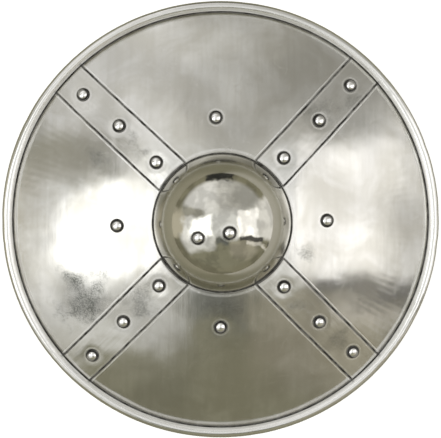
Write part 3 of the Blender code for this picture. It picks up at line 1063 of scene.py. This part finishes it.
def stain_texture_group():
    """What makes a stain's outline ragged and its inside speckled."""
    tree, given, put = shader_group("stain_texture", ("Warp", "Speckle"), Position=ORIGIN)
    warp = noise(tree, given["Position"], STAIN_EDGE_SCALE, 4.0, 0.6)
    ragged = ramp(tree, warp, 0.2, 0.8, -STAIN_RAGGEDNESS, STAIN_RAGGEDNESS, smooth=False)
    give(tree, put["Warp"], ragged)
    speckle = noise(tree, given["Position"], STAIN_SPECKLE_SCALE, 2.0)
    give(tree, put["Speckle"], ramp(tree, speckle, 0.25, 0.75, *STAIN_SPECKLE))
    return tree


def stain_group():
    """One dark stain about a place in plan."""
    tree, given, put = shader_group(
        "stain", ("Stain",), Position=ORIGIN, Centre=ORIGIN, Radius=0.02, Depth=1.0, Warp=0.0, Speckle=1.0
    )
    away = plan_length(tree, vector_maths(tree, "SUBTRACT", given["Position"], given["Centre"]))
    share = plus(tree, over(tree, away, given["Radius"]), given["Warp"])
    soft = times(tree, ramp(tree, share, *STAIN_FADE), given["Depth"])
    give(tree, put["Stain"], times(tree, soft, given["Speckle"]))
    return tree


def rim_ripples_group():
    """Faint radial ripples that working the edge left in the dish just inside the rim."""
    tree, given, put = shader_group("rim_ripples", ("Ripples",), Position=ORIGIN)
    x, y, _ = axes(tree, given["Position"])
    wave = maths(tree, "SINE", times(tree, maths(tree, "ARCTAN2", y, x), RIPPLES_ROUND))
    near_rim = ramp(tree, plan_length(tree, given["Position"]), *RIPPLED_EDGE)
    patchy = ramp(tree, noise(tree, given["Position"], 7.0, 2.0), 0.42, 0.60)
    give(tree, put["Ripples"], times(tree, wave, times(tree, near_rim, patchy)))
    return tree


def place_group(tree, group, **values):
    """Puts a group in a material, with its inputs given by name as sockets or numbers."""
    made = node(tree, "ShaderNodeGroup", node_tree=group)
    for name, value in values.items():
        give(tree, made.inputs[name], value)
    return made.outputs


def attribute(tree, name):
    return node(tree, "ShaderNodeAttribute", attribute_name=name).outputs["Fac"]


def mixed(tree, share, first, second):
    """A colour between two, each a socket or an (r, g, b)."""
    made = node(tree, "ShaderNodeMix", data_type="RGBA", clamp_factor=True)
    give(tree, made.inputs[0], share)
    for socket, value in ((made.inputs[6], first), (made.inputs[7], second)):
        give(tree, socket, (*value, 1) if isinstance(value, tuple) else value)
    return made.outputs[2]


def bump(tree, parts):
    """One bump from several heights, each a value and how many metres it stands for."""
    height = 0.0
    for value, depth in parts:
        height = times_plus(tree, value, depth, height)
    made = node(tree, "ShaderNodeBump")
    made.inputs["Distance"].default_value = 1.0
    give(tree, made.inputs["Height"], height)
    return made.outputs[0]


def largest(tree, values):
    """The largest of several values, or nothing when there are none."""
    total = None
    for value in values:
        total = value if total is None else larger(tree, total, value)
    return total


def new_material(name):
    material = bpy.data.materials.new(name)
    material.use_nodes = True
    tree = material.node_tree
    shader = tree.nodes["Principled BSDF"].inputs
    position = node(tree, "ShaderNodeTexCoord").outputs["Object"]
    return material, tree, shader, position


def crevice_masks(tree, groups, position, look):
    """Where shade is painted at the bands' edges, rivets, boss and roll, and where a painted highlight with
    some rubbed polish goes beside it.
    """
    made = [
        place_group(tree, groups["band_edge"], Position=position, Turn=-math.radians(degrees))
        for degrees in look["joints"]
    ]
    dark = [edge["Joint"] for edge in made]
    places = [((x, y, 0.0), radius, width, 0.0) for x, y, radius, width in look["rings"]]
    places += [((0.0, 0.0, z), radius, width, 1.0) for z, radius, width in look["creases"]]
    for centre, radius, width, rise in places:
        size = {"Centre": centre, "Radius": radius, "Width": width, "Rise": rise}
        made.append(place_group(tree, groups["ring"], Position=position, **size))
        dark.append(made[-1]["Ring"])
    return largest(tree, dark), largest(tree, [outputs["Highlight And Polish"] for outputs in made])


def stain_mask(tree, groups, position, stains):
    texture = place_group(tree, groups["stain_texture"], Position=position)
    ragged = {"Position": position, "Warp": texture["Warp"], "Speckle": texture["Speckle"]}
    made = []
    for x, y, radius, depth in stains:
        stain = place_group(tree, groups["stain"], Centre=(x, y, 0.0), Radius=radius, Depth=depth, **ragged)
        made.append(stain["Stain"])
    return largest(tree, made)


def roll_masks(tree, position):
    """The whole roll from its crease outwards, and its inner flank, where a painted highlight with some
    polish goes.
    """
    past_crease = minus(tree, plan_length(tree, position), ROLL_CENTRE - ROLL_RADIUS)
    roll = ramp(tree, past_crease, *ROLL_START)
    return roll, times(tree, roll, ramp(tree, past_crease, *FLANK_HIGHLIGHT_AND_POLISH_END))


def steel(name, groups, look):
    """Bare steel: its clean and tarnished colours, its polish, its lines, patches and scratches, darker
    faces that look down, and painted shade in crevices and on rivet flanks with painted highlights beside
    it.
    """
    material, tree, shader, position = new_material(name)
    patches = place_group(
        tree, groups["patches"], Position=position, Size=look["patch_size"], Seed=look["seed"]
    )
    run = {"Turn": look["turn"], "Spacing": look["line_spacing"], "Length": look["line_length"]}
    lines = place_group(tree, groups["lines"], Position=position, **run)
    spacing = look["scratch_spacing"]
    scratches = place_group(tree, groups["scratches"], Position=position, Spacing=spacing)["Scratches"]
    # Faces that look down, made darker and rougher; on the rivets this is the flanks, which get painted
    # shade
    behind = attribute(tree, look["dull_and_shaded_mask"])
    front = minus(tree, 1.0, behind)

    def broken_up(mask, unevenness):
        made = place_group(tree, groups["uneven"], Position=position, Mask=mask, Unevenness=unevenness)
        return made["Uneven"]

    # Painted shade in joints, rings and creases, and a painted highlight with some polish beside them
    dark, highlight_and_polish = crevice_masks(tree, groups, position, look)
    dark = behind if dark is None else times(tree, dark, front)
    painted_shade = broken_up(dark, look["painted_shade_unevenness"])
    if highlight_and_polish is not None:
        highlight_and_polish = broken_up(times(tree, highlight_and_polish, front), look["highlight_and_polish_unevenness"])

    # Each layer over the clean steel: where, how strong, its colour, and how much rougher it is
    clouds = times(tree, patches["Clouds"], look["tarnish"])
    soiled = larger(tree, clouds, times(tree, patches["Smudges"], look["smudges"]))
    layers = [
        (soiled, 1.0, "tarnished", look["rough_patches"]),
        (lines["Streaks"], look["streaks"], "tarnished", 0.0),
        (scratches, look["scratch_shine"], "bright", look["rough_scratches"]),
        (behind, look["dull_and_shaded_share"], "dull_and_shaded", look["rough_behind"]),
    ]
    if look["stains"]:
        stained = times(tree, stain_mask(tree, groups, position, look["stains"]), front)
        layers.append((stained, 1.0, "stain", look["rough_stains"]))
    # A painted highlight over the roll and on its inner flank, with some polish
    if look["bright_roll"]:
        roll, flank = roll_masks(tree, position)
        layers.append((roll, look["bright_roll"], "bright", 0.0))
        highlight_and_polish = larger(tree, highlight_and_polish, flank)
    if highlight_and_polish is not None:
        layers.append((highlight_and_polish, look["highlight_and_polish_share"], "bright", look["rough_highlight_and_polish"]))
    # The near-black painted shade goes over all the rest
    layers.append((painted_shade, look["painted_shade_share"], "painted_shade", look["rough_painted_shade"]))
    color = look["clean"]
    rough = times_plus(tree, lines["Lines"], look["rough_lines"], look["roughness"])
    for mask, share, coat, roughening in layers:
        color = mixed(tree, times(tree, mask, share), color, look[coat])
        if roughening:
            rough = times_plus(tree, mask, roughening, rough)
    if look["haze"]:
        radius, width, amount = look["haze"]
        haze = place_group(tree, groups["ring"], Position=position, Radius=radius, Width=width)["Ring"]
        rough = times_plus(tree, haze, amount, rough)
    give(tree, shader["Base Color"], color)
    give(tree, shader["Roughness"], maths(tree, "MINIMUM", rough, ROUGHEST))
    # The painted shade, and part of the painted highlight, are not metal
    bare = ramp(tree, painted_shade, 0.0, 1.0, 1.0, 0.0)
    if highlight_and_polish is not None:
        matte_share = times(tree, highlight_and_polish, look["highlight_and_polish_matte"])
        bare = times(tree, bare, minus(tree, 1.0, matte_share))
    give(tree, shader["Metallic"], bare)
    shader["Specular IOR Level"].default_value = NON_METAL_SHEEN

    heights = [
        (lines["Lines"], look["line_depth"]),
        (lines["Streaks"], look["streak_depth"]),
        (scratches, -look["scratch_depth"]),
        (noise(tree, position, look["pit_scale"], 3.0, 0.6), look["pit_depth"]),
        (patches["Swell"], look["swell_depth"]),
    ]
    if look["ripple_depth"]:
        ripples = place_group(tree, groups["ripples"], Position=position)["Ripples"]
        heights.append((ripples, look["ripple_depth"]))
    give(tree, shader["Normal"], bump(tree, heights))
    return material


# The roughest that steel gets, the sheen where it is not metal (the painted shade and part of the painted
# highlight), and how steel looks where a piece doesn't say otherwise: colours, sizes in metres, places,
# strengths from 0 to 1, and roughness
ROUGHEST = 0.9
NON_METAL_SHEEN = 0.05
STEEL_LOOK = {
    "clean": (0.66, 0.655, 0.63),
    "tarnished": (0.47, 0.455, 0.40),
    # The bright colour: painted highlights beside joints and rings and over the roll, with some polish, and
    # bright scratches
    "bright": (0.95, 0.95, 0.94),
    "stain": (0.16, 0.165, 0.15),
    # The dull colour: darker faces that look down, and painted shade on rivet flanks
    "dull_and_shaded": (0.30, 0.285, 0.25),
    # The near-black painted shade in joints, rings and creases and on rivet flanks
    "painted_shade": (0.012, 0.011, 0.009),
    "patch_size": 0.07,
    "seed": 0.0,
    "turn": 0.0,
    "line_spacing": 0.0009,
    "line_length": 0.05,
    "line_depth": 0.00002,
    "streak_depth": 0.00003,
    "scratch_spacing": 0.007,
    "scratch_depth": 0.000003,
    "scratch_shine": 0.15,
    "pit_scale": 900.0,
    "pit_depth": 0.00001,
    "swell_depth": 0.0010,
    "ripple_depth": 0.0,
    "joints": (),
    "rings": (),
    "creases": (),
    "stains": (),
    "haze": (),
    "tarnish": 0.6,
    "smudges": 0.25,
    "streaks": 0.18,
    "dull_and_shaded_mask": "underside",
    "dull_and_shaded_share": 0.85,
    "bright_roll": 0.0,
    # How strong the painted highlight with some polish is, how much of it is not metal, and how uneven it
    # is
    "highlight_and_polish_share": 0.80,
    "highlight_and_polish_matte": 0.32,
    "highlight_and_polish_unevenness": 0.40,
    # How strong and how uneven the painted shade is
    "painted_shade_share": 0.97,
    "painted_shade_unevenness": 0.35,
    "roughness": 0.12,
    "rough_patches": 0.07,
    "rough_lines": 0.06,
    "rough_scratches": 0.06,
    "rough_behind": 0.22,
    "rough_stains": 0.10,
    "rough_highlight_and_polish": 0.16,
    "rough_painted_shade": 0.35,
}

# Oiled leather, light and dark, its creases, and its grain
LEATHER_COLORS = ((0.150, 0.072, 0.034), (0.090, 0.042, 0.020))
LEATHER_CREASE_COLOR = (0.055, 0.026, 0.013)
LEATHER_PATCHES = {"Size": 0.03, "Seed": 0.4}
LEATHER_PEBBLES = 1100.0
LEATHER_PEBBLE_DEPTH = 0.00012
LEATHER_CREASES = 190.0
LEATHER_CREASE_DEPTH = 0.0003


def leather_material(groups):
    """Oiled brown leather with a fine pebbled grain, creases, and darker patches."""
    material, tree, shader, position = new_material("brown_leather")
    patches = place_group(tree, groups["patches"], Position=position, **LEATHER_PATCHES)
    pebbles = node(tree, "ShaderNodeTexVoronoi", feature="SMOOTH_F1")
    pebbles.inputs["Scale"].default_value = LEATHER_PEBBLES
    give(tree, pebbles.inputs["Vector"], position)
    creases = noise(tree, position, LEATHER_CREASES, 5.0, 0.6, 1.2)
    color = mixed(tree, patches["Clouds"], *LEATHER_COLORS)
    color = mixed(tree, ramp(tree, creases, 0.55, 0.75), color, LEATHER_CREASE_COLOR)
    give(tree, shader["Base Color"], color)
    rough = times_plus(tree, patches["Smudges"], 0.18, 0.42)
    give(tree, shader["Roughness"], times_plus(tree, creases, 0.15, rough))
    heights = ((pebbles.outputs["Distance"], LEATHER_PEBBLE_DEPTH), (creases, LEATHER_CREASE_DEPTH))
    give(tree, shader["Normal"], bump(tree, heights))
    return material


# Painted shade in the creases round the boss's foot and inside the roll, as (height, radius, width)
BOSS_CREASE = (BOSS_TOP_Z - BOSS_HEIGHT, BOSS_RADIUS, 0.0050)
RIM_CREASE = (ROLL_RADIUS - 0.0018, ROLL_CENTRE - ROLL_RADIUS, 0.0023)

# Where the steel is stained, as (x, y, radius, depth), and the ring on the boss where its polish is
# hazy, as (radius, width, added roughness)
DISC_STAINS = (
    (-0.194, -0.101, 0.034, 0.95),
    (-0.172, -0.086, 0.018, 0.70),
    (-0.172, 0.087, 0.016, 0.55),
    (0.112, -0.043, 0.014, 0.55),
    (0.001, -0.116, 0.022, 0.45),
)
BAND_STAINS = {
    "upper_right": ((0.135, 0.150, 0.020, 0.45), (0.185, 0.168, 0.012, 0.35)),
    "upper_left": ((-0.118, 0.105, 0.015, 0.70), (-0.102, 0.098, 0.010, 0.55)),
    "lower_left": ((-0.110, -0.112, 0.022, 0.60), (-0.190, -0.184, 0.012, 0.35)),
    "lower_right": ((0.160, -0.165, 0.020, 0.45), (0.100, -0.112, 0.014, 0.45)),
}
BOSS_HAZE = (0.079, 0.017, 0.11)


def make_materials():
    groups = {
        "lines": polishing_lines_group(),
        "patches": cloudy_patches_group(),
        "scratches": scratches_group(),
        "uneven": uneven_mask_group(),
        "band_edge": band_edge_group(),
        "ring": ring_group(),
        "stain_texture": stain_texture_group(),
        "stain": stain_group(),
        "ripples": rim_ripples_group(),
    }
    grip_points = grip_rivet_points()
    band_points = band_rivet_points()
    disc = {
        **STEEL_LOOK,
        "joints": tuple(BAND_ANGLES.values()),
        # Painted shade round the boss's foot and the grip rivets, with a painted highlight ring outside
        # each
        "rings": (
            (0.0, 0.0, BOSS_RADIUS, FOOT_RING),
            *((x, y, HEAD_RADIUS, HEAD_RING) for x, y in grip_points),
        ),
        "creases": (RIM_CREASE,),
        "stains": DISC_STAINS,
        # A painted highlight over the roll, with some polish
        "bright_roll": 0.5,
        "ripple_depth": 0.000014,
    }
    made = {"disc": steel("disc_steel", groups, disc)}
    for index, (place, degrees) in enumerate(BAND_ANGLES.items()):
        rivets = band_points[index :: len(BAND_ANGLES)]
        look = {
            **STEEL_LOOK,
            "clean": (0.69, 0.685, 0.66),
            "turn": math.radians(90 - degrees),
            "joints": (degrees,),
            # Painted shade round the band's end at the boss and round its rivets, with a painted highlight
            # ring outside each
            "rings": (
                (0.0, 0.0, BOSS_RADIUS + BAND_TO_BOSS / 2, FOOT_RING),
                *((x, y, HEAD_RADIUS, HEAD_RING) for x, y in rivets),
            ),
            "creases": (RIM_CREASE,),
            "stains": BAND_STAINS[place],
            "seed": degrees / 360,
            "tarnish": 0.45,
            "swell_depth": 0.0012,
            "patch_size": 0.05,
        }
        made["band_" + place] = steel("band_steel_" + place, groups, look)
    boss = {
        **STEEL_LOOK,
        "clean": (0.66, 0.65, 0.60),
        "tarnish": 0.3,
        "streak_depth": 0.000002,
        "smudges": 0.2,
        "streaks": 0.0,
        "patch_size": 0.05,
        "seed": 0.7,
        "roughness": 0.035,
        "rough_patches": 0.03,
        "rough_lines": 0.02,
        "line_depth": 0.000003,
        "pit_depth": 0.000004,
        "swell_depth": 0.00028,
        "haze": BOSS_HAZE,
        "painted_shade_unevenness": 0.75,
        # Painted shade round the rivets on the boss, and in the crease at its foot
        "rings": tuple((x, y, HEAD_RADIUS, HEAD_RING) for x, y in BOSS_RIVETS),
        "creases": (BOSS_CREASE,),
    }
    made["boss"] = steel("boss_steel", groups, boss)
    rivet = {
        **boss,
        "clean": (0.96, 0.955, 0.94),
        "tarnished": (0.75, 0.74, 0.70),
        "seed": 0.2,
        "patch_size": 0.012,
        "roughness": 0.07,
        "rings": (),
        "creases": (),
        "painted_shade_unevenness": 0.12,
        # The rivets' flanks get the darker colour and the painted shade, kept partly off the crowns
        "dull_and_shaded_mask": "flank",
        "dull_and_shaded_share": 0.6,
        "swell_depth": 0.00003,
        "haze": (),
    }
    made["rivet"] = steel("rivet_steel", groups, rivet)
    made["leather"] = leather_material(groups)
    return made


# The studio: pale sheets and dark gaps that the steel mirrors

# Each is a piece of the sky over the shield: from left to right, from near to far, how much its far edge
# leans towards the far right, how soft its edges are, and its light. Left, right, near and far are
# -1 to 1, from horizon to horizon, and 1.3 is out of sight.
ROOM = (0.275, 0.265, 0.190)
HANGINGS = {
    "far_sheet": ((-1.3, 1.3), (0.08, 1.3), 0.0, 0.14, (0.72, 0.71, 0.675)),
    "far_left_sheet": ((-1.3, -0.16), (0.30, 1.3), 0.0, 0.16, (0.97, 0.96, 0.94)),
    "far_right_shade": ((0.16, 1.3), (0.42, 1.3), 0.0, 0.12, (0.54, 0.53, 0.49)),
    "overhead_sheet": ((-0.42, 0.42), (-0.38, 0.34), 0.0, 0.12, (0.90, 0.90, 0.88)),
    "near_left_sheet": ((-1.3, -0.20), (-0.66, -0.24), 0.0, 0.08, (0.80, 0.795, 0.76)),
    "near_left_gap": ((-0.80, -0.58), (-0.46, -0.36), 0.0, 0.05, (0.30, 0.30, 0.28)),
    "near_smudge": ((-0.20, 0.16), (-0.56, -0.37), 0.0, 0.05, (0.17, 0.175, 0.155)),
    "near_right_glow": ((0.20, 0.80), (-0.80, -0.42), 0.0, 0.08, (0.45, 0.42, 0.33)),
    "left_shade": ((-1.3, -0.50), (0.15, 0.41), 0.0, 0.06, (0.44, 0.43, 0.37)),
    "left_wall": ((-1.3, -0.76), (-0.46, 0.24), 0.1, 0.07, (1.0, 0.99, 0.96)),
}
LOW_ROOM = (0.265, 0.250, 0.175)
LOW_ROOM_HEIGHTS = (0.32, 0.14)
SIDE_HANGINGS = {
    "left_low_wall": ((-1.3, -0.93), (-0.30, 0.36), 0.0, 0.04, (0.56, 0.52, 0.41)),
    "far_gap": ((-0.42, 0.24), (0.945, 1.3), -0.25, 0.02, (0.045, 0.045, 0.04)),
    "right_wall": ((0.78, 1.3), (-0.33, 0.50), 0.0, 0.07, (0.92, 0.90, 0.86)),
    "left_softbox": ((-0.80, -0.29), (-0.34, 0.38), 0.38, 0.06, (2.3, 2.3, 2.27)),
    "right_softbox": ((0.38, 0.84), (-0.30, 0.35), 0.0, 0.035, (1.64, 1.61, 1.58)),
    "right_gap": ((0.46, 0.90), (-0.43, -0.31), 0.0, 0.015, (0.12, 0.115, 0.105)),
    "right_fold": ((0.58, 0.87), (-0.53, -0.44), 0.0, 0.02, (0.86, 0.82, 0.74)),
}
CLOTH_WAVE = 0.22
CLOTH_WAVE_NOISE = {"Scale": 3.6, "Detail": 5.0, "Roughness": 0.60}
CLOTH_FOLD_SCALE = 2.6
CLOTH_FOLDS = (0.42, 0.58)
CLOTH_SHADES = (0.84, 1.12)
WHITE = (1.0, 1.0, 1.0)
BLACK = (0.0, 0.0, 0.0)


def hang(tree, across, away, walls, place):
    """Lays one hanging over what is behind it."""
    (left, right), (near, far), lean, soft, light = place
    leaning = times_plus(tree, across, -lean, away) if lean else away
    covered = ramp(tree, across, left - soft, left + soft)
    for value, low, high in (
        (across, right + soft, right - soft),
        (away, near - soft, near + soft),
        (leaning, far + soft, far - soft),
    ):
        covered = times(tree, covered, ramp(tree, value, low, high))
    return mixed(tree, covered, walls, light)


def add_room():
    world = bpy.data.worlds.new("room")
    world.use_nodes = True
    bpy.context.scene.world = world
    tree = world.node_tree
    direction = node(tree, "ShaderNodeTexCoord").outputs["Generated"]
    wave = node(tree, "ShaderNodeTexNoise")
    give(tree, wave.inputs["Vector"], direction)
    for name, value in CLOTH_WAVE_NOISE.items():
        wave.inputs[name].default_value = value
    centred = vector_maths(tree, "SUBTRACT", wave.outputs["Color"], (0.5, 0.5, 0.5))
    shifted = vector_maths(tree, "MULTIPLY", centred, (CLOTH_WAVE, CLOTH_WAVE, 0.0))
    bent = vector_maths(tree, "ADD", direction, shifted)
    across, away, up = axes(tree, bent)
    walls = ROOM
    for place in HANGINGS.values():
        walls = hang(tree, across, away, walls, place)
    walls = mixed(tree, ramp(tree, up, *LOW_ROOM_HEIGHTS), walls, LOW_ROOM)
    for place in SIDE_HANGINGS.values():
        walls = hang(tree, across, away, walls, place)
    folds = noise(tree, bent, CLOTH_FOLD_SCALE, 2.0)
    shade = ramp(tree, folds, *CLOTH_FOLDS, *CLOTH_SHADES)
    shaded = vector_maths(tree, "MULTIPLY", walls, xyz(tree, shade, shade, shade))
    seen = node(tree, "ShaderNodeLightPath").outputs["Is Camera Ray"]
    background = tree.nodes["Background"].inputs
    give(tree, background["Color"], mixed(tree, seen, shaded, WHITE))
    background["Strength"].default_value = 1.0


# The floor, and the painted shade in the middle and painted light at the left and right that the steel
# mirrors of it
FLOOR_REACH = 20.0
PAPER = ((0.90, 0.90, 0.90), (0.93, 0.93, 0.93))
PAPER_GRAIN = 40.0
PAPER_GLOW = (0.54, 0.54, 0.54)
SHADED_PAPER = (0.30, 0.29, 0.21)
LEFT_PAPER = (0.44, 0.42, 0.33)
RIGHT_PAPER = (0.62, 0.60, 0.54)
LIT_FROM = 0.10
LIT_TO = 0.60


def add_floor():
    """A pale sheet of paper under the shield. The steel mirrors it dim, as paper in shade."""
    mesh = bpy.data.meshes.new("floor")
    half = FLOOR_REACH
    corners = [(-half, -half, 0), (half, -half, 0), (half, half, 0), (-half, half, 0)]
    mesh.from_pydata(corners, [], [(0, 1, 2, 3)])
    floor = bpy.data.objects.new("floor", mesh)
    bpy.context.scene.collection.objects.link(floor)
    material, tree, shader, position = new_material("pale_paper")
    paper = mixed(tree, noise(tree, position, PAPER_GRAIN), *PAPER)
    seen = node(tree, "ShaderNodeLightPath").outputs["Is Camera Ray"]
    x = axes(tree, position)[0]
    # Painted shade and painted light on the paper, for every ray but the camera's
    shade = mixed(tree, ramp(tree, x, -LIT_FROM, -LIT_TO), SHADED_PAPER, LEFT_PAPER)
    shade = mixed(tree, ramp(tree, x, LIT_FROM, LIT_TO), shade, RIGHT_PAPER)
    give(tree, shader["Base Color"], mixed(tree, seen, shade, paper))
    give(tree, shader["Emission Color"], mixed(tree, seen, BLACK, PAPER_GLOW))
    shader["Emission Strength"].default_value = 1.0
    shader["Roughness"].default_value = 0.9
    shader["Specular IOR Level"].default_value = 0.1
    mesh.materials.append(material)


def main():
    add_camera()
    materials = make_materials()
    trees = {"turned": turned_sheet_tree(), "rivets": rivet_row_tree()}
    make_disc(trees["turned"], materials["disc"])
    make_boss(trees["turned"], materials["boss"])
    for place, degrees in BAND_ANGLES.items():
        make_band(place, degrees, materials["band_" + place])
    make_rivets(trees, materials["rivet"])
    for name, ends in LOOPS.items():
        make_loop(name, ends, materials["leather"])
    add_floor()
    add_room()
    bpy.context.scene.view_settings.view_transform = "Standard"


main()
